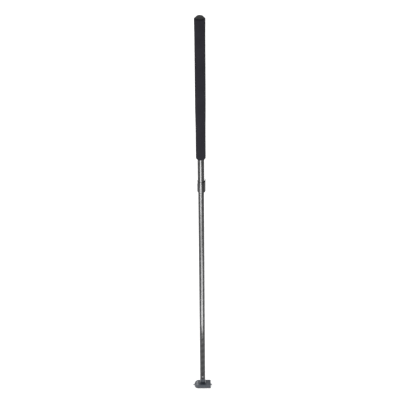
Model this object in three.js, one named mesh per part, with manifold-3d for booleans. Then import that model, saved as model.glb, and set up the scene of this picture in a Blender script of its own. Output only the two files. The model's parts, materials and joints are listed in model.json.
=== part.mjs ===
// A telescoping door security bar, standing upright on its foot.
// Millimetres. The origin is the centre of the sole's underside, +Z runs up the bar,
// X runs along the foot and its pivot pin, and the clamp's bolt lies behind the tubes, on +Y.

import * as THREE from 'three';
import { mergeVertices } from 'three/addons/utils/BufferGeometryUtils.js';
import Module from 'manifold-3d';

const wasm = await Module();
wasm.setup();

// ---------- Driving dimensions ----------

const BAR_LENGTH = 1307; // underside of the sole to the top of the plug
const SIDES = 36; // facets round a tube
const SMALL_SIDES = 20; // facets round a pin, bolt or screw
const FIT = 0.05; // gap between two pieces that are fixed to each other
const RUNNING_GAP = 0.1; // gap between two pieces that slide or turn on each other
const OVERRUN = 1; // how far a cutting tool runs past the face it cuts

const OUTER_TUBE_RADIUS = 9.525;
const OUTER_TUBE_WALL = 0.5;
const INNER_TUBE_RADIUS = 8.5;
const INNER_TUBE_WALL = 0.9;

const COLLAR_BOTTOM = 781;
const COLLAR_HEIGHT = 35.5;
const GRIP_BOTTOM = 890;
const GRIP_TOP = 1300.5;
const CAP_RADIUS = 10.7; // the plug's cap, on the grip's end

const FOOT_LENGTH = 53;
const FOOT_DEPTH = 24;
const FOOT_HEIGHT = 15;
const SOLE_THICKNESS = 3;
const PIVOT_HEIGHT = 5.5; // pivot pin's axis above the floor
const PIVOT_PIN_RADIUS = 2.2;
const PIVOT_PIN_LENGTH = 62.5;
const FERRULE_RIVET_RADIUS = 1.6;
const BUSH_RIVET_RADIUS = 1.4;
const SOLE_SCREW_RADIUS = 1.2;
const SOLE_SCREW_HEAD_RADIUS = 2.4;
const SOLE_SCREW_HEAD_TOP = 1.6;
const SOLE_SCREW_TOP = 10;

const CLAMP_BOLT_HEIGHT = COLLAR_BOTTOM + 12;
const CLAMP_BOLT_OFFSET = 14.5; // bolt's axis behind the tubes' axis
const CLAMP_BOLT_RADIUS = 2;
const LEVER_PIN_RADIUS = 1.5;
const LEVER_OUTER_RADIUS = 12.8;
const LEVER_THICKNESS = 1.45;
const LEVER_BOSS_RADIUS = 3.2;
const LEVER_BOSS_HALF_HEIGHT = 11;
const LEVER_INSET = 1; // from the collar's ends
const EYE_SLOT_HALF_HEIGHT = 4;

// ---------- Heights and radii that follow ----------

const OUTER_TUBE_BORE = OUTER_TUBE_RADIUS - OUTER_TUBE_WALL;
const OUTER_TUBE_BOTTOM = COLLAR_BOTTOM + 11;
const OUTER_TUBE_TOP = GRIP_TOP - 4;
const INNER_TUBE_BORE = INNER_TUBE_RADIUS - INNER_TUBE_WALL;
const INNER_TUBE_BOTTOM = 38;
const INNER_TUBE_TOP = COLLAR_BOTTOM + 81;

const COLLAR_TOP = COLLAR_BOTTOM + COLLAR_HEIGHT;
const COLLAR_STEP = COLLAR_BOTTOM + 24; // the slit lower part ends here
const COLLAR_RADIUS = 11.1;
const COLLAR_NECK_RADIUS = 10.4;
const SLIT_WIDTH = 2;

const LOWER_BUSH_TOP = COLLAR_BOTTOM + 59;
const UPPER_BUSH_BOTTOM = LOWER_BUSH_TOP + 1;

const LEVER_PIN_X = LEVER_OUTER_RADIUS - LEVER_BOSS_RADIUS;
const EAR_HALF_WIDTH = 5;
const WASHER_THICKNESS = 0.9;

const FOOT_HALF_LENGTH = FOOT_LENGTH / 2;
const FOOT_HALF_DEPTH = FOOT_DEPTH / 2;
const TONGUE_HALF_THICKNESS = 3.3;
const CLIP_MIDDLE = FOOT_HALF_LENGTH + 1.5; // the clip grooves, out from the foot's middle
const CLIP_GROOVE_WIDTH = 1;
const CLIP_BORE_RADIUS = PIVOT_PIN_RADIUS - 0.4;
const FERRULE_RIVET_HEIGHT = 50;
const BUSH_RIVET_HEIGHT = INNER_TUBE_TOP - 8;

// ---------- Geometry helpers ----------

/** Points on an arc round (x, y), from one angle to another in degrees. */
function arcPoints(x, y, radius, from, to, steps) {
  return Array.from({ length: steps + 1 }, (_, i) => {
    const angle = THREE.MathUtils.degToRad(from + ((to - from) * i) / steps);
    return [x + radius * Math.cos(angle), y + radius * Math.sin(angle)];
  });
}

/** A body of revolution about Z from [radius, height] points, listed anticlockwise. */
function turned(profile, sides = SIDES) {
  const points = profile.map(([radius, height]) => new THREE.Vector2(radius, height));
  return new THREE.LatheGeometry(points, sides).rotateX(Math.PI / 2);
}

/** The same for a profile that closes on itself away from the axis. */
function turnedRing(profile, sides = SIDES) {
  return turned([...profile, profile[0]], sides);
}

/** A plain tube with flat ends. */
function tube(outer, inner, bottom, top, sides = SIDES) {
  const profile = [[inner, bottom], [outer, bottom], [outer, top], [inner, top]];
  return turnedRing(profile, sides);
}

/** A plain round bar along Z. */
function rod(radius, bottom, top, sides = SIDES) {
  return turned([[0, bottom], [radius, bottom], [radius, top], [0, top]], sides);
}

/** Turns a geometry made along Z to lie along X, then moves its axis to (y, z). */
function alongX(geometry, y, z) {
  return geometry.rotateY(Math.PI / 2).translate(0, y, z);
}

/** A box from its limits on each axis. */
function block([left, right], [front, back], [bottom, top]) {
  const box = new THREE.BoxGeometry(right - left, back - front, top - bottom);
  return box.translate((left + right) / 2, (front + back) / 2, (bottom + top) / 2);
}

/** An XY outline raised from one height to another. */
function plate(outline, bottom, top) {
  const options = { depth: top - bottom, bevelEnabled: false, curveSegments: 10 };
  return new THREE.ExtrudeGeometry(outline, options).translate(0, 0, bottom);
}

/** A YZ outline spread along X. */
function barAlongX(outline, left, right) {
  const turn = new THREE.Matrix4().makeBasis(
    new THREE.Vector3(0, 1, 0),
    new THREE.Vector3(0, 0, 1),
    new THREE.Vector3(1, 0, 0),
  );
  return plate(outline, left, right).applyMatrix4(turn);
}

/** An XZ outline spread along Y, evenly about y = 0. */
function barAlongY(outline, depth) {
  return plate(outline, -depth / 2, depth / 2).rotateX(Math.PI / 2);
}

/** A closed outline through a list of points. */
function outlineOf(points) {
  return new THREE.Shape(points.map(([x, y]) => new THREE.Vector2(x, y)));
}

/** A closed geometry as a manifold solid. */
function solidOf(geometry) {
  const bare = geometry.clone();
  bare.deleteAttribute('normal');
  bare.deleteAttribute('uv');
  const merged = mergeVertices(bare, 1e-4);
  const corners = merged.index.array;
  const kept = [];
  for (let i = 0; i < corners.length; i += 3) {
    const [a, b, c] = corners.slice(i, i + 3);
    if (a !== b && b !== c && c !== a) {
      kept.push(a, b, c);
    }
  }
  const vertProperties = new Float32Array(merged.attributes.position.array);
  const mesh = new wasm.Mesh({ numProp: 3, vertProperties, triVerts: new Uint32Array(kept) });
  return new wasm.Manifold(mesh);
}

/** A manifold solid as a geometry. */
function geometryOf(solid) {
  const { vertProperties, triVerts } = solid.getMesh();
  const geometry = new THREE.BufferGeometry();
  geometry.setAttribute('position', new THREE.BufferAttribute(vertProperties, 3));
  geometry.setIndex(new THREE.BufferAttribute(triVerts, 1));
  geometry.computeVertexNormals();
  return geometry;
}

/** One geometry with others cut out of it. */
function cut(body, ...tools) {
  const left = tools.reduce((solid, tool) => solid.subtract(solidOf(tool)), solidOf(body));
  return geometryOf(left);
}

/** Several geometries joined into one. */
function join(...bodies) {
  return geometryOf(bodies.map(solidOf).reduce((sum, next) => sum.add(next)));
}

/** What two geometries share. */
function common(first, second) {
  return geometryOf(solidOf(first).intersect(solidOf(second)));
}

// ---------- Upper bar ----------

/** The outer tube, slit at its lower end so that the clamp can close it. */
function outerTube() {
  const beyondCollarSlit = 5;
  const slit = block(
    [-SLIT_WIDTH / 2, SLIT_WIDTH / 2],
    [OUTER_TUBE_BORE - OVERRUN, OUTER_TUBE_RADIUS + OVERRUN],
    [OUTER_TUBE_BOTTOM - OVERRUN, COLLAR_STEP + beyondCollarSlit],
  );
  const body = tube(OUTER_TUBE_RADIUS, OUTER_TUBE_BORE, OUTER_TUBE_BOTTOM + FIT, OUTER_TUBE_TOP);
  return cut(body, slit);
}

/** The foam sleeve: a soft round top edge, and a slight waist below the hand. */
function foamGrip() {
  const bore = OUTER_TUBE_RADIUS + RUNNING_GAP;
  const topRadius = 14.8;
  const palmRadius = 14.4;
  const palmStart = 150;
  const waistRadius = 13.75;
  const waistEnd = 90;
  const topEdge = 2.2;
  const bottomEdge = 2.4;
  const lowEdge = arcPoints(
    waistRadius - bottomEdge, GRIP_BOTTOM + bottomEdge, bottomEdge, -90, 0, 4,
  );
  const highEdge = arcPoints(topRadius - topEdge, GRIP_TOP - topEdge, topEdge, 0, 90, 6);
  return turnedRing([
    [bore, GRIP_BOTTOM],
    ...lowEdge,
    [waistRadius, GRIP_BOTTOM + waistEnd],
    [palmRadius, GRIP_BOTTOM + palmStart],
    ...highEdge,
    [bore, GRIP_TOP],
  ]);
}

/** The plug in the tube's top end: a stem, a neck on the tube's rim, and a domed cap. */
function topPlug() {
  const stemRadius = OUTER_TUBE_BORE - FIT;
  const stemBottom = OUTER_TUBE_TOP - 20;
  const stemTaper = [1, 2]; // across and up
  const capSeat = GRIP_TOP + FIT;
  const domeBase = GRIP_TOP + 1.9;
  const flatRadius = 2;
  const dome = arcPoints(0, 0, 1, 0, 90, 8).map(([across, up]) => [
    flatRadius + (CAP_RADIUS - flatRadius) * across,
    domeBase + (BAR_LENGTH - domeBase) * up,
  ]);
  return turned([
    [0, stemBottom],
    [stemRadius - stemTaper[0], stemBottom],
    [stemRadius, stemBottom + stemTaper[1]],
    [stemRadius, OUTER_TUBE_TOP + FIT],
    [OUTER_TUBE_RADIUS - FIT, OUTER_TUBE_TOP + FIT],
    [OUTER_TUBE_RADIUS - FIT, capSeat],
    [CAP_RADIUS, capSeat],
    ...dome,
    [0, BAR_LENGTH],
  ]);
}

/** The clamp collar: a stepped ring on the outer tube's end, slit behind, with two bolt ears. */
function clampBody() {
  const edge = 0.6;
  const shell = turned([
    [0, COLLAR_BOTTOM],
    [COLLAR_RADIUS - edge, COLLAR_BOTTOM],
    [COLLAR_RADIUS, COLLAR_BOTTOM + edge],
    [COLLAR_RADIUS, COLLAR_STEP - edge],
    [COLLAR_NECK_RADIUS, COLLAR_STEP + edge],
    [COLLAR_NECK_RADIUS, COLLAR_TOP - edge],
    [COLLAR_NECK_RADIUS - edge / 2, COLLAR_TOP],
    [0, COLLAR_TOP],
  ]);
  const earRoot = OUTER_TUBE_BORE;
  const earBack = CLAMP_BOLT_OFFSET + 4;
  const earCorner = 4;
  const earInset = 2.5; // from the slit part's ends
  const earBottom = COLLAR_BOTTOM + earInset;
  const earTop = COLLAR_STEP - earInset;
  const ears = outlineOf([
    [earRoot, earBottom],
    ...arcPoints(earBack - earCorner, earBottom + earCorner, earCorner, -90, 0, 6),
    ...arcPoints(earBack - earCorner, earTop - earCorner, earCorner, 0, 90, 6),
    [earRoot, earTop],
  ]);
  const slit = block(
    [-SLIT_WIDTH / 2, SLIT_WIDTH / 2],
    [INNER_TUBE_RADIUS, earBack + OVERRUN],
    [COLLAR_BOTTOM - OVERRUN, COLLAR_STEP],
  );
  const boltHole = alongX(
    rod(CLAMP_BOLT_RADIUS + RUNNING_GAP, -2 * EAR_HALF_WIDTH, 2 * EAR_HALF_WIDTH, SMALL_SIDES),
    CLAMP_BOLT_OFFSET, CLAMP_BOLT_HEIGHT,
  );
  return cut(
    join(shell, barAlongX(ears, -EAR_HALF_WIDTH, EAR_HALF_WIDTH)),
    rod(OUTER_TUBE_RADIUS + FIT, OUTER_TUBE_BOTTOM, COLLAR_TOP + OVERRUN),
    rod(OUTER_TUBE_BORE + FIT, COLLAR_BOTTOM - OVERRUN, OUTER_TUBE_BOTTOM + OVERRUN),
    slit,
    boltHole,
  );
}

/** The nylon guide in the outer tube's mouth: slit under the clamp, with a lip below it. */
function guideBushLower() {
  const outside = OUTER_TUBE_BORE - FIT;
  const inside = INNER_TUBE_RADIUS + RUNNING_GAP;
  const lipRadius = 9.6;
  const lipThickness = 1.3;
  const lipTop = COLLAR_BOTTOM - FIT;
  const lipBottom = lipTop - lipThickness;
  const sleeve = turnedRing([
    [inside, lipBottom],
    [lipRadius, lipBottom],
    [lipRadius, lipTop],
    [outside, lipTop],
    [outside, LOWER_BUSH_TOP],
    [inside, LOWER_BUSH_TOP],
  ]);
  const slit = block(
    [-SLIT_WIDTH / 2, SLIT_WIDTH / 2],
    [INNER_TUBE_BORE, lipRadius + OVERRUN],
    [lipBottom - OVERRUN, COLLAR_STEP],
  );
  return cut(sleeve, slit);
}

/** The eye bolt that draws the ears together: its eye turns on the lever's pin. */
function clampBolt() {
  const eyeHalfHeight = EYE_SLOT_HALF_HEIGHT - 0.2;
  const shankStart = -2 * EAR_HALF_WIDTH + 0.6;
  const eye = rod(
    LEVER_BOSS_RADIUS - 0.2,
    CLAMP_BOLT_HEIGHT - eyeHalfHeight,
    CLAMP_BOLT_HEIGHT + eyeHalfHeight,
    SMALL_SIDES,
  ).translate(LEVER_PIN_X, CLAMP_BOLT_OFFSET, 0);
  const shank = alongX(
    rod(CLAMP_BOLT_RADIUS, shankStart, LEVER_PIN_X - CLAMP_BOLT_RADIUS, SMALL_SIDES),
    CLAMP_BOLT_OFFSET, CLAMP_BOLT_HEIGHT,
  );
  const hole = rod(LEVER_PIN_RADIUS + RUNNING_GAP, COLLAR_BOTTOM, COLLAR_TOP, SMALL_SIDES)
    .translate(LEVER_PIN_X, CLAMP_BOLT_OFFSET, 0);
  return cut(join(eye, shank), hole);
}

/** The hexagon nut on the bolt's far end. */
function clampNut() {
  const cornerRadius = 4;
  const thickness = 3.2;
  const outerFace = -EAR_HALF_WIDTH - FIT;
  const body = alongX(
    rod(cornerRadius, outerFace - thickness, outerFace, 6),
    CLAMP_BOLT_OFFSET, CLAMP_BOLT_HEIGHT,
  );
  const bore = alongX(
    rod(CLAMP_BOLT_RADIUS + FIT, 2 * outerFace, 0, SMALL_SIDES),
    CLAMP_BOLT_OFFSET, CLAMP_BOLT_HEIGHT,
  );
  return cut(body, bore);
}

/** The washer that the lever's boss bears on. */
function clampWasher() {
  const face = EAR_HALF_WIDTH + FIT;
  const radius = 4;
  const bore = CLAMP_BOLT_RADIUS + RUNNING_GAP;
  const ring = tube(radius, bore, face, face + WASHER_THICKNESS, SMALL_SIDES);
  return alongX(ring, CLAMP_BOLT_OFFSET, CLAMP_BOLT_HEIGHT);
}

// ---------- Clamp lever ----------

/** The lever: a boss round the pin, and a strip that wraps the collar's right side. */
function clampLever() {
  const inner = LEVER_OUTER_RADIUS - LEVER_THICKNESS;
  const bossReach = inner - LEVER_PIN_X;
  const joinAngle = THREE.MathUtils.radToDeg(Math.acos(bossReach / LEVER_BOSS_RADIUS));
  const tipAngle = -48;
  const tipLength = 3;
  const tipX = tipLength * Math.sin(THREE.MathUtils.degToRad(tipAngle));
  const tipY = -tipLength * Math.cos(THREE.MathUtils.degToRad(tipAngle));
  const outside = arcPoints(0, 0, LEVER_OUTER_RADIUS, 0, tipAngle, 8);
  const inside = arcPoints(0, 0, inner, tipAngle, 0, 8);
  const boss = arcPoints(
    LEVER_PIN_X, CLAMP_BOLT_OFFSET, LEVER_BOSS_RADIUS, -joinAngle, -360, 18,
  );
  const [outerEndX, outerEndY] = outside.at(-1);
  const [innerEndX, innerEndY] = inside[0];
  const strip = outlineOf([
    ...outside,
    [outerEndX + tipX, outerEndY + tipY],
    [innerEndX + tipX, innerEndY + tipY],
    ...inside,
    ...boss,
  ]);
  const aroundBoss = (bottom, top) => block(
    [LEVER_PIN_X - bossReach - LEVER_BOSS_RADIUS, LEVER_OUTER_RADIUS + OVERRUN],
    [CLAMP_BOLT_OFFSET - LEVER_BOSS_RADIUS - 0.3, CLAMP_BOLT_OFFSET + LEVER_BOSS_RADIUS + OVERRUN],
    [bottom, top],
  );
  const pinHole = rod(LEVER_PIN_RADIUS + FIT, COLLAR_BOTTOM, COLLAR_TOP, SMALL_SIDES)
    .translate(LEVER_PIN_X, CLAMP_BOLT_OFFSET, 0);
  return cut(
    plate(strip, COLLAR_BOTTOM + LEVER_INSET, COLLAR_TOP - LEVER_INSET),
    aroundBoss(CLAMP_BOLT_HEIGHT - EYE_SLOT_HALF_HEIGHT, CLAMP_BOLT_HEIGHT + EYE_SLOT_HALF_HEIGHT),
    aroundBoss(CLAMP_BOLT_HEIGHT + LEVER_BOSS_HALF_HEIGHT, COLLAR_TOP + OVERRUN),
    pinHole,
  );
}

/** The lever's pin, pressed into both sides of its fork. */
function leverPin() {
  const halfLength = LEVER_BOSS_HALF_HEIGHT - 0.5;
  const middle = CLAMP_BOLT_HEIGHT;
  return rod(LEVER_PIN_RADIUS, middle - halfLength, middle + halfLength, SMALL_SIDES)
    .translate(LEVER_PIN_X, CLAMP_BOLT_OFFSET, 0);
}

// ---------- Lower bar ----------

/** The hole for the upper guide's rivet, right across the tube along X. */
function bushRivetHole() {
  const reach = OUTER_TUBE_RADIUS;
  return alongX(rod(BUSH_RIVET_RADIUS + FIT, -reach, reach, SMALL_SIDES), 0, BUSH_RIVET_HEIGHT);
}

/** The hole for the ferrule's two rivets, right across the tube along Y. */
function ferruleRivetHole() {
  const reach = OUTER_TUBE_RADIUS;
  return rod(FERRULE_RIVET_RADIUS + RUNNING_GAP, -reach, reach, SMALL_SIDES)
    .rotateX(Math.PI / 2)
    .translate(0, 0, FERRULE_RIVET_HEIGHT);
}

/** The inner tube, drilled for the rivets at both ends. */
function innerTube() {
  const body = tube(INNER_TUBE_RADIUS, INNER_TUBE_BORE, INNER_TUBE_BOTTOM, INNER_TUBE_TOP);
  return cut(body, bushRivetHole(), ferruleRivetHole());
}

/** The nylon cap on the inner tube's top: its skirt guides the tube and stops on the lower guide. */
function guideBushUpper() {
  const stemRadius = INNER_TUBE_BORE - RUNNING_GAP;
  const stemLength = 14;
  const skirtBore = INNER_TUBE_RADIUS + FIT;
  const skirtRadius = OUTER_TUBE_BORE - RUNNING_GAP;
  const capThickness = 4;
  const capEdge = 1;
  const seat = INNER_TUBE_TOP + FIT;
  const capTop = seat + capThickness;
  const cap = turned([
    [0, seat - stemLength],
    [stemRadius, seat - stemLength],
    [stemRadius, seat],
    [skirtBore, seat],
    [skirtBore, UPPER_BUSH_BOTTOM],
    [skirtRadius, UPPER_BUSH_BOTTOM],
    [skirtRadius, capTop - capEdge],
    [skirtRadius - capEdge, capTop],
    [0, capTop],
  ]);
  return cut(cap, bushRivetHole());
}

/** The flush rivet across the upper guide, the tube and the guide's stem. */
function bushRivet() {
  const reach = OUTER_TUBE_BORE - 2 * RUNNING_GAP;
  return alongX(rod(BUSH_RIVET_RADIUS, -reach, reach, SMALL_SIDES), 0, BUSH_RIVET_HEIGHT);
}

/** The ferrule: a hollow stem in the tube, a shoulder, and a flat tongue down to the pivot pin. */
function tubeFerrule() {
  const shoulderTop = INNER_TUBE_BOTTOM - FIT;
  const shoulderBottom = 26.5;
  const tongueTop = 22;
  const profile = outlineOf([
    ...arcPoints(0, PIVOT_HEIGHT, TONGUE_HALF_THICKNESS, -180, 0, 10),
    [TONGUE_HALF_THICKNESS, tongueTop],
    [INNER_TUBE_RADIUS + OVERRUN, shoulderBottom + OVERRUN],
    [INNER_TUBE_RADIUS + OVERRUN, shoulderTop],
    [-INNER_TUBE_RADIUS - OVERRUN, shoulderTop],
    [-INNER_TUBE_RADIUS - OVERRUN, shoulderBottom + OVERRUN],
    [-TONGUE_HALF_THICKNESS, tongueTop],
  ]);
  const reach = INNER_TUBE_RADIUS + OVERRUN;
  const tongue = common(
    rod(INNER_TUBE_RADIUS, 0, shoulderTop),
    barAlongX(profile, -reach, reach),
  );
  const stemTop = FERRULE_RIVET_HEIGHT + 16;
  const hollowRadius = 4.5;
  const hollowBottom = shoulderTop + 4;
  const stem = rod(INNER_TUBE_BORE - FIT, shoulderBottom, stemTop);
  const hollow = rod(hollowRadius, hollowBottom, stemTop + OVERRUN, SMALL_SIDES);
  const pinBore = alongX(
    rod(PIVOT_PIN_RADIUS + 2 * RUNNING_GAP, -reach, reach, SMALL_SIDES), 0, PIVOT_HEIGHT,
  );
  return cut(join(tongue, stem), hollow, pinBore, ferruleRivetHole());
}

/** A dome-headed rivet through the tube's wall into the ferrule, at the front or the back. */
function ferruleRivet(side) {
  const headRadius = 2.7;
  const headHeight = 1;
  const headBase = INNER_TUBE_RADIUS + RUNNING_GAP;
  const shankEnd = headBase - 3.6;
  const dome = arcPoints(0, 0, 1, 0, 90, 5).map(([across, up]) => [
    headRadius * across,
    headBase + headHeight * up,
  ]);
  const rivet = turned(
    [[0, shankEnd], [FERRULE_RIVET_RADIUS, shankEnd], [FERRULE_RIVET_RADIUS, headBase], ...dome],
    SMALL_SIDES,
  );
  return rivet.rotateX((-side * Math.PI) / 2).translate(0, 0, FERRULE_RIVET_HEIGHT);
}

// ---------- Foot ----------

/** The foot's plan: a half round on the left, small corners on the right. */
function footPlan() {
  const corner = 2;
  const rightX = FOOT_HALF_LENGTH - corner;
  const cornerY = FOOT_HALF_DEPTH - corner;
  const quarter = Math.PI / 2;
  const plan = new THREE.Shape();
  plan.moveTo(-FOOT_HALF_LENGTH + FOOT_HALF_DEPTH, -FOOT_HALF_DEPTH);
  plan.lineTo(rightX, -FOOT_HALF_DEPTH);
  plan.absarc(rightX, -cornerY, corner, -quarter, 0, false);
  plan.lineTo(FOOT_HALF_LENGTH, cornerY);
  plan.absarc(rightX, cornerY, corner, 0, quarter, false);
  plan.lineTo(-FOOT_HALF_LENGTH + FOOT_HALF_DEPTH, FOOT_HALF_DEPTH);
  plan.absarc(-FOOT_HALF_LENGTH + FOOT_HALF_DEPTH, 0, FOOT_HALF_DEPTH, quarter, 3 * quarter, false);
  return plan;
}

/** The places of the four screws that hold the sole on. */
function soleScrewPlaces() {
  return [[-19, -6], [-19, 6], [19.5, -7], [19.5, 7]];
}

/** The foot's housing: its top falls away to the left, and a slot, open behind, takes the tongue. */
function footHousing() {
  const bottom = SOLE_THICKNESS + FIT;
  const crownRadius = 30;
  const crownStart = -12;
  const edge = 1.5;
  const rightX = FOOT_HALF_LENGTH + OVERRUN;
  const lip = FOOT_HEIGHT + OVERRUN;
  const crownAngle = THREE.MathUtils.radToDeg(
    Math.asin((FOOT_HALF_LENGTH + crownStart + OVERRUN) / crownRadius),
  );
  const front = outlineOf([
    [-FOOT_HALF_LENGTH - OVERRUN, bottom],
    [rightX, bottom],
    [rightX, FOOT_HEIGHT - edge - OVERRUN],
    [FOOT_HALF_LENGTH - edge, FOOT_HEIGHT],
    ...arcPoints(crownStart, FOOT_HEIGHT - crownRadius, crownRadius, 90, 90 + crownAngle, 10),
  ]);
  const slotHalfWidth = INNER_TUBE_RADIUS + 0.45;
  const slotFront = -TONGUE_HALF_THICKNESS - 1.1;
  const slot = block(
    [-slotHalfWidth, slotHalfWidth],
    [slotFront, FOOT_HALF_DEPTH + OVERRUN],
    [0, lip],
  );
  const pinBore = alongX(
    rod(PIVOT_PIN_RADIUS + FIT, -rightX, rightX, SMALL_SIDES), 0, PIVOT_HEIGHT,
  );
  const screwHoles = soleScrewPlaces().map(([x, y]) => (
    rod(SOLE_SCREW_RADIUS + FIT, 0, SOLE_SCREW_TOP + 0.5, SMALL_SIDES).translate(x, y, 0)
  ));
  return cut(
    common(plate(footPlan(), bottom, lip), barAlongY(front, 2 * FOOT_DEPTH)),
    slot,
    pinBore,
    ...screwHoles,
  );
}

/** The rubber sole: grooved underneath, with a pocket above for the end of the tongue. */
function solePad() {
  const pocketHalfWidth = INNER_TUBE_RADIUS + 0.65;
  const pocketHalfDepth = 5;
  const pocketFloor = 1.8;
  const pocket = block(
    [-pocketHalfWidth, pocketHalfWidth],
    [-pocketHalfDepth, pocketHalfDepth],
    [pocketFloor, SOLE_THICKNESS + OVERRUN],
  );
  const grooveWidth = 1.4;
  const grooveDepth = 1;
  const groovePitch = 4;
  const grooves = [-2, -1, 1, 2].map((step) => block(
    [-FOOT_LENGTH, FOOT_LENGTH],
    [step * groovePitch - grooveWidth / 2, step * groovePitch + grooveWidth / 2],
    [-OVERRUN, grooveDepth],
  ));
  const shankHole = SOLE_SCREW_RADIUS + RUNNING_GAP;
  const headHole = SOLE_SCREW_HEAD_RADIUS + 2 * RUNNING_GAP;
  const headSeat = SOLE_SCREW_HEAD_TOP + RUNNING_GAP;
  const screwHoles = soleScrewPlaces().flatMap(([x, y]) => [
    rod(shankHole, -OVERRUN, SOLE_THICKNESS + OVERRUN, SMALL_SIDES).translate(x, y, 0),
    rod(headHole, -OVERRUN, headSeat, SMALL_SIDES).translate(x, y, 0),
  ]);
  return cut(plate(footPlan(), 0, SOLE_THICKNESS), pocket, ...grooves, ...screwHoles);
}

/** A sole screw, its head sunk in the rubber, with a hexagon socket. */
function soleScrew([x, y]) {
  const headBottom = 0.5;
  const taper = 1;
  const socketDepth = 0.6;
  const body = turned([
    [0, headBottom],
    [SOLE_SCREW_HEAD_RADIUS, headBottom],
    [SOLE_SCREW_HEAD_RADIUS, SOLE_SCREW_HEAD_TOP],
    [SOLE_SCREW_RADIUS, SOLE_SCREW_HEAD_TOP],
    [SOLE_SCREW_RADIUS, SOLE_SCREW_TOP - taper],
    [0, SOLE_SCREW_TOP],
  ], SMALL_SIDES);
  const socket = rod(SOLE_SCREW_HEAD_RADIUS / 2, 0, headBottom + socketDepth, 6);
  return cut(body, socket).translate(x, y, 0);
}

/** The pivot pin, grooved near both ends for its clips. */
function pivotPin() {
  const end = PIVOT_PIN_LENGTH / 2;
  const grooveInner = CLIP_MIDDLE - CLIP_GROOVE_WIDTH / 2;
  const grooveOuter = CLIP_MIDDLE + CLIP_GROOVE_WIDTH / 2;
  const grooveRadius = CLIP_BORE_RADIUS - FIT;
  const chamfer = 0.5;
  const half = [
    [PIVOT_PIN_RADIUS, grooveInner],
    [grooveRadius, grooveInner],
    [grooveRadius, grooveOuter],
    [PIVOT_PIN_RADIUS, grooveOuter],
    [PIVOT_PIN_RADIUS, end - chamfer],
    [PIVOT_PIN_RADIUS - chamfer, end],
    [0, end],
  ];
  const otherHalf = half.map(([radius, height]) => [radius, -height]).reverse();
  return alongX(turned([...otherHalf, ...half], SMALL_SIDES), 0, PIVOT_HEIGHT);
}

/** A spring clip in the pin's groove, open underneath. */
function pinClip(side) {
  const middle = side * CLIP_MIDDLE;
  const radius = 3.1;
  const halfThickness = 0.4;
  const gapHalfWidth = 1.1;
  const ring = tube(
    radius, CLIP_BORE_RADIUS, middle - halfThickness, middle + halfThickness, SMALL_SIDES,
  );
  const gap = block(
    [middle - OVERRUN, middle + OVERRUN],
    [-gapHalfWidth, gapHalfWidth],
    [PIVOT_HEIGHT - radius - OVERRUN, PIVOT_HEIGHT],
  );
  return cut(alongX(ring, 0, PIVOT_HEIGHT), gap);
}

// ---------- Assembly ----------

const bar = new THREE.Group();

/** Adds one named piece in its own material. */
function addPiece(parent, name, geometry, color, roughness, metalness) {
  const material = new THREE.MeshStandardMaterial({ color, roughness, metalness });
  const mesh = new THREE.Mesh(geometry, material);
  mesh.name = name;
  parent.add(mesh);
}

const upperBar = new THREE.Group();
const clampLeverGroup = new THREE.Group();
const lowerBar = new THREE.Group();
const foot = new THREE.Group();
bar.add(upperBar, clampLeverGroup, lowerBar, foot);

const GUNMETAL = '#3c3c3f';
const FOAM_BLACK = '#2f2e34';
const COLLAR_BLACK = '#2a2a2c';
const NYLON = '#1d1d1f';
const STEEL = '#8a8c90';
const FOOT_GREY = '#42454b';
const RUBBER = '#55565a';

addPiece(upperBar, 'outer_tube', outerTube(), GUNMETAL, 0.25, 0.8);
addPiece(upperBar, 'foam_grip', foamGrip(), FOAM_BLACK, 0.95, 0);
addPiece(upperBar, 'top_plug', topPlug(), GUNMETAL, 0.5, 0);
addPiece(upperBar, 'clamp_body', clampBody(), COLLAR_BLACK, 0.4, 0.2);
addPiece(upperBar, 'guide_bush_lower', guideBushLower(), NYLON, 0.5, 0);
addPiece(upperBar, 'clamp_bolt', clampBolt(), STEEL, 0.35, 0.9);
addPiece(upperBar, 'clamp_nut', clampNut(), STEEL, 0.35, 0.9);
addPiece(upperBar, 'clamp_washer', clampWasher(), STEEL, 0.35, 0.9);

addPiece(clampLeverGroup, 'clamp_lever', clampLever(), COLLAR_BLACK, 0.4, 0.3);
addPiece(clampLeverGroup, 'lever_pin', leverPin(), STEEL, 0.35, 0.9);

addPiece(lowerBar, 'inner_tube', innerTube(), GUNMETAL, 0.25, 0.8);
addPiece(lowerBar, 'guide_bush_upper', guideBushUpper(), NYLON, 0.5, 0);
addPiece(lowerBar, 'bush_rivet', bushRivet(), STEEL, 0.4, 0.9);
addPiece(lowerBar, 'tube_ferrule', tubeFerrule(), FOOT_GREY, 0.45, 0.2);
addPiece(lowerBar, 'ferrule_rivet_front', ferruleRivet(-1), STEEL, 0.3, 0.9);
addPiece(lowerBar, 'ferrule_rivet_back', ferruleRivet(1), STEEL, 0.3, 0.9);

addPiece(foot, 'foot_housing', footHousing(), FOOT_GREY, 0.45, 0.1);
addPiece(foot, 'sole_pad', solePad(), RUBBER, 0.9, 0);
addPiece(foot, 'pivot_pin', pivotPin(), STEEL, 0.35, 0.9);
addPiece(foot, 'pin_clip_left', pinClip(-1), STEEL, 0.35, 0.9);
addPiece(foot, 'pin_clip_right', pinClip(1), STEEL, 0.35, 0.9);
soleScrewPlaces().forEach((place, i) => {
  addPiece(foot, `sole_screw_${i + 1}`, soleScrew(place), STEEL, 0.4, 0.9);
});

export default bar;
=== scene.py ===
"""Looks of a telescoping door security bar: foam grip, flip-lock collar and pivoting foot.

Metres, in the frame of the CAD model: origin under the sole, +Z up the bar, X along the foot."""

import json
import math

import bmesh
import bpy
import numpy as np
from mathutils import Euler, Matrix, Vector, noise

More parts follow.
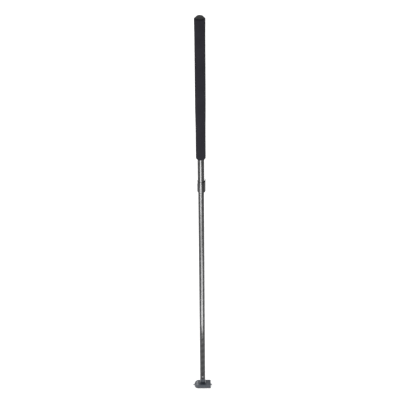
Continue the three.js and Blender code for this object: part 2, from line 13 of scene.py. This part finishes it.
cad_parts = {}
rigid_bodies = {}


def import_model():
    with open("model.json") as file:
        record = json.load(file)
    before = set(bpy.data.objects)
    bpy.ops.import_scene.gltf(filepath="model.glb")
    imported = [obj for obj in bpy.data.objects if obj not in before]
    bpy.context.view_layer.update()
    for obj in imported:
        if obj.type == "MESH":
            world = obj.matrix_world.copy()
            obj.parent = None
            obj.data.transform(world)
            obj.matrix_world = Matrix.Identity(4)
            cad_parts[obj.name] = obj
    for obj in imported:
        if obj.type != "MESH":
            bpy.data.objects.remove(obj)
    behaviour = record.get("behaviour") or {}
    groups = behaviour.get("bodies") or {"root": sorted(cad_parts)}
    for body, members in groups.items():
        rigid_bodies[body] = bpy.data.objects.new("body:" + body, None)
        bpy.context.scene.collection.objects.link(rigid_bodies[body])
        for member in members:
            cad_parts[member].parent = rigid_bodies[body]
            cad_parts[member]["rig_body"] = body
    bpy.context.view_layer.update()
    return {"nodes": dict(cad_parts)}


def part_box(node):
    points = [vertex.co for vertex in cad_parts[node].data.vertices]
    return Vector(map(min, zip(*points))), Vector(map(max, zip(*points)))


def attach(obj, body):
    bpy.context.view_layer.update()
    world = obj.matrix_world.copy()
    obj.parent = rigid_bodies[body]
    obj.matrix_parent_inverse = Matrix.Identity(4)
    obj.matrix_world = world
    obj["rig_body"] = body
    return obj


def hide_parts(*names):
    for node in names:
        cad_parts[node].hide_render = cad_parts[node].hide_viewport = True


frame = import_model()

MM = 0.001
SMOOTH_ANGLE = math.radians(32)  # edges sharper than this stay crisp on a turned piece
EDGE_ANGLE = math.radians(35)  # edges sharper than this are rounded
ROUNDED_ANGLE = math.radians(40)  # the same as SMOOTH_ANGLE, after the edges are rounded
FINE_SIDES = 144  # facets round a tube
FOAM_SIDES = 96
FOAM_ANGLE = math.radians(60)  # the foam's own SMOOTH_ANGLE
OUTER_WALL = 0.5 * MM
INNER_WALL = 0.9 * MM
FIT = 0.05 * MM  # gap between two fixed pieces
MERGE_DISTANCE = 1e-6
FLAT_ANGLE = math.radians(0.5)  # faces that meet at less than this are one flat face


# ---------- Mesh helpers ----------


def new_object(name, mesh):
    """A new object for a mesh, in the scene's collection."""
    obj = bpy.data.objects.new(name, mesh)
    bpy.context.scene.collection.objects.link(obj)
    return obj


def smooth(obj, angle=SMOOTH_ANGLE):
    """Smooth shading, with an edge kept crisp where its faces meet above an angle."""
    obj.data.shade_smooth()
    obj.data.set_sharp_from_angle(angle=angle)


def apply_modifiers(obj):
    """Bakes an object's modifiers into its mesh."""
    graph = bpy.context.evaluated_depsgraph_get()
    done = bpy.data.meshes.new_from_object(obj.evaluated_get(graph))
    obj.modifiers.clear()
    obj.data = done


def even_shading(obj):
    """Shades corners by their largest face, so that small rims don't tilt a tube's shading."""
    normals = obj.modifiers.new("normals", "WEIGHTED_NORMAL")
    normals.weight = 100
    normals.keep_sharp = True
    apply_modifiers(obj)


def bevel(obj, width, segments):
    """Rounds an object's sharp edges."""
    step = obj.modifiers.new("edges", "BEVEL")
    step.width = width
    step.segments = segments
    step.limit_method = "ANGLE"
    step.angle_limit = EDGE_ANGLE
    step.use_clamp_overlap = True
    apply_modifiers(obj)
    smooth(obj, ROUNDED_ANGLE)
    even_shading(obj)


def arc(radius_at, height_at, radius, start, end, steps):
    """(radius, height) points on an arc, with its angles in degrees."""
    found = []
    for i in range(steps + 1):
        a = math.radians(start + (end - start) * i / steps)
        found.append((radius_at + radius * math.cos(a), height_at + radius * math.sin(a)))
    return found


def spun(name, profile, sides=FINE_SIDES, closed=True):
    """A body turned about Z from (radius, height) points, listed up its outside."""
    mesh = bpy.data.meshes.new(name)
    verts, rings = [], []
    for r, z in profile:
        if r < 1e-9:
            rings.append([len(verts)])
            verts.append((0.0, 0.0, z))
            continue
        rings.append(list(range(len(verts), len(verts) + sides)))
        for i in range(sides):
            a = 2 * math.pi * i / sides
            verts.append((r * math.cos(a), r * math.sin(a), z))
    faces = []
    pairs = list(zip(rings, rings[1:] + rings[:1] if closed else rings[1:]))
    for low, high in pairs:
        for i in range(sides):
            j = (i + 1) % sides
            if len(low) == 1 and len(high) == 1:
                break
            if len(low) == 1:
                faces.append((low[0], high[j], high[i]))
            elif len(high) == 1:
                faces.append((low[i], low[j], high[0]))
            else:
                faces.append((low[i], low[j], high[j], high[i]))
    mesh.from_pydata(verts, [], faces)
    mesh.validate()
    obj = new_object(name, mesh)
    smooth(obj)
    return obj


def ring_profile(outer, inner, bottom, top, edge):
    """The profile of a tube with rounded rims."""
    return [
        *arc(inner + edge, bottom + edge, edge, 180, 270, 3),
        *arc(outer - edge, bottom + edge, edge, 270, 360, 3),
        *arc(outer - edge, top - edge, edge, 0, 90, 3),
        *arc(inner + edge, top - edge, edge, 90, 180, 3),
    ]


def refined(node, name, width, segments=3):
    """A copy of a CAD node with its flat faces merged and its edges rounded."""
    mesh = frame["nodes"][node].data.copy()
    mesh.name = name
    work = bmesh.new()
    work.from_mesh(mesh)
    bmesh.ops.remove_doubles(work, verts=work.verts, dist=MERGE_DISTANCE)
    bmesh.ops.dissolve_limit(work, angle_limit=FLAT_ANGLE, verts=work.verts, edges=work.edges)
    work.to_mesh(mesh)
    work.free()
    mesh.materials.clear()
    obj = new_object(name, mesh)
    bevel(obj, width, segments)
    return obj


def place(obj, node, material):
    """Puts a piece in a CAD node's stead: its body, and its looks."""
    obj.data.materials.clear()
    obj.data.materials.append(material)
    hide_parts(node)
    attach(obj, frame["nodes"][node]["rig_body"])


# ---------- Material helpers ----------


class Paint:
    """A node material being built: one Principled shader, and short names for common nodes."""

    def __init__(self, name, color, roughness, metallic=0.0, specular=0.5):
        self.material = bpy.data.materials.new(name)
        self.material.use_nodes = True
        self.tree = self.material.node_tree
        self.shader = self.tree.nodes["Principled BSDF"]
        self.set("Base Color", (*color, 1))
        self.set("Roughness", roughness)
        self.set("Metallic", metallic)
        self.set("Specular IOR Level", specular)
        coords = self.tree.nodes.new("ShaderNodeTexCoord")
        self.place = coords.outputs["Object"]

    def set(self, socket, value):
        self.shader.inputs[socket].default_value = value

    def link(self, source, target):
        self.tree.links.new(source, target)

    def to_shader(self, source, socket):
        self.link(source, self.shader.inputs[socket])

    def math(self, operation, a, b=None, c=None):
        """One Math node; an input is a socket or a number."""
        node = self.tree.nodes.new("ShaderNodeMath")
        node.operation = operation
        for socket, value in zip(node.inputs, (a, b, c)):
            if value is None:
                continue
            if isinstance(value, (int, float)):
                socket.default_value = value
            else:
                self.link(value, socket)
        return node.outputs[0]

    def stretched(self, scale):
        """Object coordinates, scaled along each axis."""
        node = self.tree.nodes.new("ShaderNodeMapping")
        self.link(self.place, node.inputs["Vector"])
        node.inputs["Scale"].default_value = scale
        return node.outputs["Vector"]

    def noise(self, scale, detail=3.0, roughness=0.55, where=None):
        """Noise from 0 to 1; scale is in repeats to the metre."""
        node = self.tree.nodes.new("ShaderNodeTexNoise")
        self.link(where or self.place, node.inputs["Vector"])
        node.inputs["Scale"].default_value = scale
        node.inputs["Detail"].default_value = detail
        node.inputs["Roughness"].default_value = roughness
        return node.outputs["Fac"]

    def cells(self, scale, feature="F1", where=None):
        """Distance to the nearest point of a scattered set."""
        node = self.tree.nodes.new("ShaderNodeTexVoronoi")
        node.feature = feature
        self.link(where or self.place, node.inputs["Vector"])
        node.inputs["Scale"].default_value = scale
        return node.outputs["Distance"]

    def ramp(self, source, stops):
        """A colour ramp; stops are (position, (r, g, b))."""
        node = self.tree.nodes.new("ShaderNodeValToRGB")
        self.link(source, node.inputs["Fac"])
        elements = node.color_ramp.elements
        while len(elements) < len(stops):
            elements.new(0.5)
        for element, (position, color) in zip(elements, stops):
            element.position = position
            element.color = (*color, 1)
        return node.outputs["Color"]

    def span(self, source, low, high, start=0.0, end=1.0):
        """A value remapped from start..end to low..high, held at its ends."""
        node = self.tree.nodes.new("ShaderNodeMapRange")
        self.link(source, node.inputs["Value"])
        node.inputs["From Min"].default_value = start
        node.inputs["From Max"].default_value = end
        node.inputs["To Min"].default_value = low
        node.inputs["To Max"].default_value = high
        return node.outputs["Result"]

    def mixed(self, factor, first, second):
        """A blend of two colours; each is a socket or (r, g, b)."""
        node = self.tree.nodes.new("ShaderNodeMix")
        node.data_type = "RGBA"
        self.link(factor, node.inputs["Factor"])
        for socket, value in ((node.inputs[6], first), (node.inputs[7], second)):
            if isinstance(value, tuple):
                socket.default_value = (*value, 1)
            else:
                self.link(value, socket)
        return node.outputs[2]

    def bump(self, height, distance, strength=1.0):
        """Adds relief; distance is the height in metres of a step from 0 to 1."""
        node = self.tree.nodes.new("ShaderNodeBump")
        node.inputs["Strength"].default_value = strength
        node.inputs["Distance"].default_value = distance
        self.link(height, node.inputs["Height"])
        previous = self.shader.inputs["Normal"]
        if previous.is_linked:
            self.link(previous.links[0].from_socket, node.inputs["Normal"])
        self.to_shader(node.outputs["Normal"], "Normal")

    def worn_edges(self, radius):
        """How much a point lies on a convex edge, from 0 to 1."""
        node = self.tree.nodes.new("ShaderNodeBevel")
        node.samples = 4
        node.inputs["Radius"].default_value = radius
        geometry = self.tree.nodes.new("ShaderNodeNewGeometry")
        dot = self.tree.nodes.new("ShaderNodeVectorMath")
        dot.operation = "DOT_PRODUCT"
        self.link(node.outputs["Normal"], dot.inputs[0])
        self.link(geometry.outputs["Normal"], dot.inputs[1])
        return self.span(dot.outputs["Value"], 1.0, 0.0, 0.80, 0.995)


# ---------- Materials ----------

WRAP_PITCH = 0.0254  # one turn of the tube's helical pattern
THREADS_PER_TURN = 12.0  # finer ridges within one turn of it


def tube_material():
    """Glossy gunmetal black, with a right-hand helical wrap showing faintly in the finish."""
    paint = Paint("gunmetal_wrap", (0.009, 0.009, 0.0094), 0.2, specular=0.3)
    split = paint.tree.nodes.new("ShaderNodeSeparateXYZ")
    paint.link(paint.place, split.inputs[0])
    turn = paint.math("ARCTAN2", split.outputs["Y"], split.outputs["X"])
    rise = paint.math("MULTIPLY", split.outputs["Z"], 2 * math.pi / WRAP_PITCH)
    phase = paint.math("SUBTRACT", rise, turn)
    wave = paint.span(paint.math("SINE", phase), 0.0, 1.0, -1.0, 1.0)
    ridges = paint.math("SINE", paint.math("MULTIPLY", phase, THREADS_PER_TURN))
    thread = paint.span(ridges, 0.0, 1.0, -1.0, 1.0)
    drawn = paint.noise(60.0, 4.0, 0.6, paint.stretched((8.0, 8.0, 0.12)))
    smudge = paint.noise(14.0, 3.0)
    tone = paint.math("MULTIPLY_ADD", drawn, 0.25, paint.math("MULTIPLY", wave, 0.75))
    color = paint.ramp(
        tone,
        [
            (0.0, (0.005, 0.005, 0.0053)),
            (0.55, (0.008, 0.008, 0.0084)),
            (1.0, (0.013, 0.013, 0.0136)),
        ],
    )
    paint.to_shader(color, "Base Color")
    gloss = paint.math("MULTIPLY_ADD", smudge, 0.05, paint.span(wave, 0.13, 0.16))
    paint.to_shader(gloss, "Roughness")
    paint.bump(thread, 0.000001)
    paint.bump(wave, 0.000004)
    return paint.material


def foam_material():
    """Closed-cell foam: charcoal, matte, with fine cells and a moulded skin."""
    paint = Paint("charcoal_foam", (0.020, 0.0195, 0.024), 0.95, specular=0.15)
    cells = paint.cells(1500.0)
    pores = paint.cells(520.0, "SMOOTH_F1")
    cloud = paint.noise(22.0, 4.0)
    grain = paint.noise(1800.0, 2.0)
    tone = paint.math("MULTIPLY_ADD", cells, 0.35, paint.math("MULTIPLY", cloud, 0.65))
    color = paint.ramp(
        tone,
        [
            (0.15, (0.0090, 0.0086, 0.0118)),
            (0.55, (0.0160, 0.0154, 0.0203)),
            (0.9, (0.0255, 0.0248, 0.0312)),
        ],
    )
    paint.to_shader(color, "Base Color")
    paint.to_shader(paint.span(cloud, 0.9, 1.0), "Roughness")
    paint.bump(grain, 0.00008, 0.7)
    paint.bump(cells, 0.00025, 0.8)
    paint.bump(pores, 0.0003, 0.5)
    return paint.material


def coated_metal_material(name, dark, light, roughness, wear, specular):
    """Sprayed coating on cast metal: slight orange peel, and edges rubbed lighter."""
    paint = Paint(name, dark, roughness, specular=specular)
    mottle = paint.noise(110.0, 4.0)
    edge = paint.worn_edges(0.0006)
    base = paint.mixed(paint.span(mottle, 0.0, 1.0, 0.3, 0.75), dark, light)
    rubbed = paint.math("MULTIPLY", edge, paint.span(paint.noise(400.0), 0.2, 1.0, 0.4, 0.65))
    paint.to_shader(paint.mixed(paint.math("MULTIPLY", rubbed, 0.55), base, wear), "Base Color")
    polish = paint.span(rubbed, roughness - 0.08, roughness)
    paint.to_shader(paint.math("MULTIPLY_ADD", mottle, 0.18, polish), "Roughness")
    paint.bump(paint.noise(900.0, 2.0), 0.00004)
    return paint.material


def moulded_plastic_material(name, dark, light, roughness):
    """Moulded plastic: a fine spark-eroded texture and faint flow marks."""
    paint = Paint(name, dark, roughness, specular=0.45)
    flow = paint.noise(45.0, 3.0, 0.5, paint.stretched((1.0, 1.0, 0.4)))
    paint.to_shader(paint.mixed(flow, dark, light), "Base Color")
    paint.to_shader(paint.span(flow, roughness - 0.06, roughness + 0.1), "Roughness")
    paint.bump(paint.noise(2600.0, 2.0), 0.00003)
    return paint.material


def steel_material():
    """Zinc-plated steel: fine turning marks, and a dull patchy shine."""
    paint = Paint("plated_steel", (0.36, 0.37, 0.39), 0.32, metallic=1.0)
    patch = paint.noise(260.0, 4.0)
    marks = paint.noise(1500.0, 2.0, 0.5, paint.stretched((1.0, 1.0, 0.25)))
    paint.to_shader(paint.mixed(patch, (0.24, 0.245, 0.26), (0.46, 0.47, 0.49)), "Base Color")
    paint.to_shader(paint.span(marks, 0.24, 0.5, 0.3, 0.7), "Roughness")
    paint.bump(marks, 0.00001)
    return paint.material


def rubber_material():
    """Grey sole rubber: matte, dusty, with a fine moulded grain."""
    paint = Paint("sole_rubber", (0.09, 0.09, 0.097), 0.85, specular=0.3)
    dust = paint.noise(70.0, 5.0, 0.6)
    dusty = paint.span(dust, 0.0, 1.0, 0.35, 0.7)
    paint.to_shader(paint.mixed(dusty, (0.07, 0.07, 0.076), (0.13, 0.13, 0.137)), "Base Color")
    paint.to_shader(paint.span(dust, 0.75, 0.95), "Roughness")
    paint.bump(paint.noise(1700.0, 3.0), 0.00008)
    return paint.material


TUBE = tube_material()
FOAM = foam_material()
PLUG = moulded_plastic_material("plug_plastic", (0.007, 0.007, 0.0085), (0.014, 0.014, 0.0165), 0.6)
NYLON = moulded_plastic_material("black_nylon", (0.014, 0.014, 0.016), (0.024, 0.024, 0.026), 0.45)
BLACK = coated_metal_material(
    "black_coating", (0.006, 0.006, 0.0065), (0.013, 0.013, 0.014), 0.2, (0.07, 0.07, 0.074), 0.28
)
BLUE_GREY = coated_metal_material(
    "blue_grey_coating", (0.032, 0.037, 0.047), (0.046, 0.053, 0.066), 0.3, (0.13, 0.14, 0.155), 0.4
)
STEEL = steel_material()
RUBBER = rubber_material()


# ---------- Upper bar ----------


def outer_tube():
    """The outer tube, with rounded rims and the clamp's slit at its lower end."""
    low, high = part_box("outer_tube")
    radius = high.x
    rim_edge = 0.15 * MM
    profile = ring_profile(radius, radius - OUTER_WALL, low.z, high.z, rim_edge)
    obj = spun("outer_tube_fine", profile)
    bpy.ops.mesh.primitive_cube_add(size=1)
    cutter = bpy.context.object
    slit_width, slit_depth, slit_height = 2 * MM, 4 * MM, 21 * MM
    cutter.scale = (slit_width, slit_depth, 2 * slit_height)
    cutter.location = (0, radius, low.z)
    step = obj.modifiers.new("slit", "BOOLEAN")
    step.operation = "DIFFERENCE"
    step.object = cutter
    apply_modifiers(obj)
    bpy.data.objects.remove(cutter)
    smooth(obj)
    even_shading(obj)
    place(obj, "outer_tube", TUBE)


def foam_outline(low, high):
    """(height, radius) of the sleeve's outside: a waist below the palm, and a flared top end."""
    top_radius = high.x
    waist = top_radius - 1.05 * MM
    palm = top_radius - 0.4 * MM
    waist_end, palm_start = low.z + 90 * MM, low.z + 155 * MM
    palm_end, flare_end = high.z - 40 * MM, high.z - 8 * MM
    return [
        (low.z, waist),
        (waist_end, waist),
        (palm_start, palm),
        (palm_end, palm),
        (flare_end, top_radius),
    ]


def foam_grip():
    """The foam sleeve: round ends, a slight waist, and a skin that isn't quite even."""
    low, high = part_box("foam_grip")
    slack = 0.1 * MM
    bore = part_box("outer_tube")[1].x + slack
    still = bore + 1.2 * MM  # the skin moves only outside this radius
    top_edge, bottom_edge = 2.2 * MM, 2.4 * MM
    inner_bottom_edge, inner_top_edge = 0.6 * MM, 0.8 * MM
    ring_step = 2 * MM
    swell, pit = 0.16 * MM, 0.06 * MM  # the skin's slow and fast unevenness
    table = foam_outline(low, high)
    heights = [h for h, _ in table]
    radii = [r for _, r in table]
    bottom_radius = radii[0]
    top_radius = radii[-1]
    profile = [(bore, low.z + inner_bottom_edge), (bore + inner_bottom_edge, low.z)]
    profile += arc(bottom_radius - bottom_edge, low.z + bottom_edge, bottom_edge, 270, 360, 8)
    start, end = low.z + bottom_edge, high.z - top_edge
    count = int((end - start) / ring_step)
    for i in range(1, count):
        z = start + (end - start) * i / count
        profile.append((float(np.interp(z, heights, radii)), z))
    profile += arc(top_radius - top_edge, high.z - top_edge, top_edge, 0, 90, 10)
    profile += [(bore + inner_top_edge, high.z), (bore, high.z - inner_top_edge)]
    obj = spun("foam_sleeve", profile, sides=FOAM_SIDES)
    for v in obj.data.vertices:
        radius = math.hypot(v.co.x, v.co.y)
        if radius < still:
            continue
        outward = Vector((v.co.x, v.co.y, 0)) / radius
        slow = noise.noise(Vector((v.co.x * 30, v.co.y * 30, v.co.z * 9)))
        dimple = noise.noise(Vector((v.co.x * 160, v.co.y * 160, v.co.z * 90)))
        v.co += outward * (swell * (slow - 0.6) + pit * (dimple - 0.5))
    smooth(obj, FOAM_ANGLE)
    place(obj, "foam_grip", FOAM)


def top_plug():
    """The plug: a stem in the tube, a neck on its rim, and a low domed cap on the grip's end."""
    low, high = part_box("top_plug")
    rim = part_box("outer_tube")[1]
    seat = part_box("foam_grip")[1].z + FIT
    edge = 0.5 * MM
    dome_base = seat + 1.85 * MM
    flat = 2 * MM  # radius of the flat on top
    taper_width, taper_height = 1 * MM, 2 * MM  # the stem's lower end
    steps = 16
    dome = []
    for i in range(steps + 1):
        a = math.radians(90 * i / steps)
        dome.append(
            (
                flat + (high.x - flat) * math.cos(a),
                dome_base + (high.z - dome_base) * math.sin(a),
            )
        )
    stem = rim.x - OUTER_WALL - FIT
    neck = rim.x - FIT
    neck_base = rim.z + FIT
    profile = [
        (0, low.z),
        (stem - taper_width, low.z),
        (stem, low.z + taper_height),
        (stem, neck_base),
        (neck, neck_base),
        (neck, seat),
        *arc(high.x - edge, seat + edge, edge, 270, 360, 4),
        *dome,
        (0, high.z),
    ]
    obj = spun("top_plug_fine", profile, closed=False)
    place(obj, "top_plug", PLUG)


def clamp():
    """The collar, its guide bush, its bolt, nut and washer, and the lever with its pin."""
    pieces = [
        ("clamp_body", 0.35, BLACK, "black_metal"),
        ("guide_bush_lower", 0.2, NYLON, "nylon"),
        ("clamp_bolt", 0.25, STEEL, "steel"),
        ("clamp_nut", 0.3, STEEL, "steel"),
        ("clamp_washer", 0.15, STEEL, "steel"),
        ("clamp_lever", 0.3, BLACK, "black_metal"),
        ("lever_pin", 0.3, STEEL, "steel"),
    ]
    for node, width, material, slot in pieces:
        place(refined(node, node + "_fine", width * MM), node, material)


# ---------- Lower bar ----------


def inner_tube():
    """The inner tube, with rounded rims."""
    low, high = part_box("inner_tube")
    rim_edge = 0.2 * MM
    profile = ring_profile(high.x, high.x - INNER_WALL, low.z, high.z, rim_edge)
    obj = spun("inner_tube_fine", profile)
    even_shading(obj)
    place(obj, "inner_tube", TUBE)


def ferrule():
    """The ferrule with its two rivets."""
    body = refined("tube_ferrule", "tube_ferrule_fine", 0.4 * MM)
    place(body, "tube_ferrule", BLUE_GREY)
    for side in ("front", "back"):
        node = f"ferrule_rivet_{side}"
        rivet = refined(node, node + "_fine", 0.15 * MM)
        place(rivet, node, STEEL)


def hidden_pieces():
    """The guide on the inner tube's top and its rivet keep their CAD shape."""
    for node, material in (("guide_bush_upper", NYLON), ("bush_rivet", STEEL)):
        mesh = frame["nodes"][node].data
        mesh.materials.clear()
        mesh.materials.append(material)


# ---------- Foot ----------


def foot():
    """The housing, the sole, the pivot pin with its clips, and the sole's screws."""
    housing = refined("foot_housing", "foot_housing_fine", 0.7 * MM, 4)
    place(housing, "foot_housing", BLUE_GREY)
    sole = refined("sole_pad", "sole_pad_fine", 0.25 * MM, 2)
    place(sole, "sole_pad", RUBBER)
    pin = refined("pivot_pin", "pivot_pin_fine", 0.12 * MM, 2)
    place(pin, "pivot_pin", STEEL)
    for side in ("left", "right"):
        node = f"pin_clip_{side}"
        place(refined(node, node + "_fine", 0.12 * MM, 2), node, STEEL)
    for i in range(1, 5):
        node = f"sole_screw_{i}"
        place(refined(node, node + "_fine", 0.12 * MM, 2), node, STEEL)


# ---------- Stage, lights and camera ----------


def floor():
    """A plain pale floor."""
    bpy.ops.mesh.primitive_plane_add(size=12)
    obj = bpy.context.object
    obj.name = "floor"
    paint = Paint("pale_floor", (0.9, 0.9, 0.9), 0.8, specular=0.1)
    paint.set("Emission Color", (1, 1, 1, 1))
    paint.set("Emission Strength", 0.38)
    tone = paint.mixed(paint.noise(1.5), (0.89, 0.89, 0.89), (0.92, 0.92, 0.92))
    paint.to_shader(tone, "Base Color")
    obj.data.materials.append(paint.material)


def softbox(name, start, end, width, look_at, radiance, only_on=()):
    """A rectangular light from start to end that faces a point and may light only some pieces."""
    start, end = Vector(start), Vector(end)
    middle = (start + end) / 2
    along = (end - start).normalized()
    facing = Vector(look_at) - middle
    facing = (facing - along * facing.dot(along)).normalized()
    data = bpy.data.lights.new(name, "AREA")
    data.shape = "RECTANGLE"
    data.size = width
    data.size_y = (end - start).length
    data.energy = radiance * math.pi * data.size * data.size_y
    obj = bpy.data.objects.new(name, data)
    bpy.context.scene.collection.objects.link(obj)
    across = along.cross(-facing)
    turn = Matrix((across, along, -facing)).transposed()
    obj.matrix_world = Matrix.Translation(middle) @ turn.to_4x4()
    obj.visible_camera = False
    if only_on:
        receivers = bpy.data.collections.new(name + "_receivers")
        for piece in only_on:
            receivers.objects.link(bpy.data.objects[piece])
        obj.light_linking.receiver_collection = receivers


def around(azimuth, distance, height):
    """A place round the bar; azimuth 0 is in front, and grows to the right."""
    a = math.radians(azimuth)
    return (distance * math.sin(a), -distance * math.cos(a), height)


def white_room():
    """A white surrounding, a little brighter in front than behind."""
    world = bpy.data.worlds.new("white_room")
    bpy.context.scene.world = world
    world.use_nodes = True
    tree = world.node_tree
    background = tree.nodes["Background"]
    coords = tree.nodes.new("ShaderNodeTexCoord")
    split = tree.nodes.new("ShaderNodeSeparateXYZ")
    tree.links.new(coords.outputs["Generated"], split.inputs[0])
    depth = tree.nodes.new("ShaderNodeMapRange")
    tree.links.new(split.outputs["Y"], depth.inputs["Value"])
    depth.inputs["From Min"].default_value = -0.6
    depth.inputs["From Max"].default_value = 0.6
    depth.inputs["To Min"].default_value = 1.1
    depth.inputs["To Max"].default_value = 0.88
    background.inputs["Color"].default_value = (1, 1, 1, 1)
    tree.links.new(depth.outputs["Result"], background.inputs["Strength"])


# name, azimuth in degrees, (distance, height) of each end, width, radiance
STRIPS = [
    ("top_strip", -10, (0.78, 0.24), (1.3, 0.50), 0.57, 30),
    ("upper_strip", -18, (0.70, 0.20), (0.78, 0.24), 0.60, 24),
    ("middle_strip", -9, (0.55, 0.125), (0.70, 0.20), 0.70, 11.5),
    ("low_strip", 5, (0.41, 0.055), (0.55, 0.125), 0.52, 18),
    ("near_strip", -3, (0.265, 0.008), (0.41, 0.055), 0.38, 21),
]


def lights():
    """Low strips that the glossy tubes mirror, and softboxes for the foam and the foot."""
    glossy = ("outer_tube_fine", "inner_tube_fine", "clamp_body_fine")
    matte = ("foam_sleeve", "top_plug_fine")
    housing = ("foot_housing_fine",)
    bar = (0, 0, 0.7)
    grip_end = (0, 0, 0.95)
    foot_middle = (0, 0, 0.01)
    for name, azimuth, near, far, width, radiance in STRIPS:
        start, end = around(azimuth, *near), around(azimuth, *far)
        softbox(name, start, end, width, bar, radiance, glossy)
    softbox("foam_fill", (-0.15, -0.45, 0.3), (-0.15, -0.75, 0.45), 0.6, grip_end, 8, matte)
    softbox("foot_streak", (-0.64, 1.35, 1.45), (-0.44, 1.85, 0.95), 0.14, foot_middle, 28, housing)
    softbox("foot_front", (-0.5, -0.5, 0.02), (-0.5, -0.5, 0.3), 0.5, foot_middle, 7, housing)


def camera():
    """The camera: above and in front, turned a little so that the bar leans as it does there."""
    pitch = math.radians(34.5)
    distance = 2.509
    aim = Vector((-0.0034, 0, 0.750))
    data = bpy.data.cameras.new("camera")
    data.sensor_width = 36  # millimetres, as the lens is
    data.lens = 79.3
    obj = bpy.data.objects.new("camera", data)
    bpy.context.scene.collection.objects.link(obj)
    back = Vector((0, -math.cos(pitch), math.sin(pitch)))
    obj.location = aim + back * distance
    roll = math.radians(-0.54)
    turn = Euler((math.pi / 2 - pitch, 0, 0)).to_matrix() @ Euler((0, 0, roll)).to_matrix()
    obj.rotation_euler = turn.to_euler()
    bpy.context.scene.camera = obj
    bpy.context.scene.view_settings.view_transform = "Standard"


camera()
outer_tube()
foam_grip()
top_plug()
clamp()
inner_tube()
ferrule()
hidden_pieces()
foot()
floor()
white_room()
lights()
